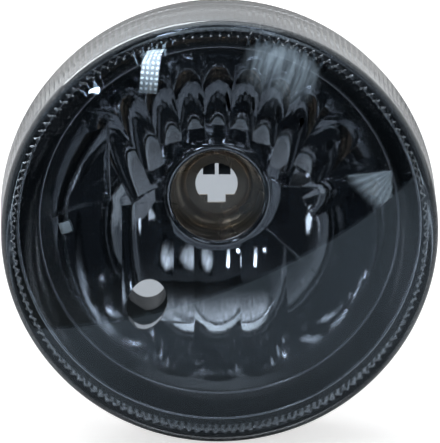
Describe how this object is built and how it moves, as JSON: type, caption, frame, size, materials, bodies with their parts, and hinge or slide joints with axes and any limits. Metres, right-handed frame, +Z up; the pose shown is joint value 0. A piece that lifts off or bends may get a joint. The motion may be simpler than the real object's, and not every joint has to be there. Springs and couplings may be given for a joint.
{
  "type": "scooter headlight",
  "caption": "Round scooter headlight with a smoked domed lens, dark fluted reflector with open bulb neck and parking-light hole, and a rear shell with threaded fixing bosses.",
  "frame": {"origin": "on the lamp's axis, in the plane of the fixing bosses' rear faces", "axes": "+Y along the lamp's axis towards its back, so the lens faces -Y; +Z up; +X to the right of someone facing the lens"},
  "size_m": [0.155, 0.105, 0.155],
  "materials": {
    "smoked_lens": "smoked clear polycarbonate",
    "sealant": "soft sealant",
    "bezel_grey": "dark grey, glossy",
    "dark_chrome": "metallised plastic, dark chrome",
    "housing_black": "moulded, satin",
    "foam": "closed-cell foam",
    "bronze": "passivated sheet, bronze tone",
    "collar_black": "moulded",
    "zinc": "zinc plated",
    "brass": "turned",
    "vent_rubber": "moulded"
  },
  "bodies": {
    "root": {"lens": "smoked_lens", "lens_seal": "sealant", "bezel": "bezel_grey", "reflector": "dark_chrome", "housing": "housing_black", "neck_gasket": "foam", "bulb_seat": "bronze", "bulb_collar": "collar_black", "collar_screws": "zinc", "boss_inserts": "brass", "vent_elbow_left": "vent_rubber", "vent_elbow_right": "vent_rubber"}
  },
  "joints": []
}
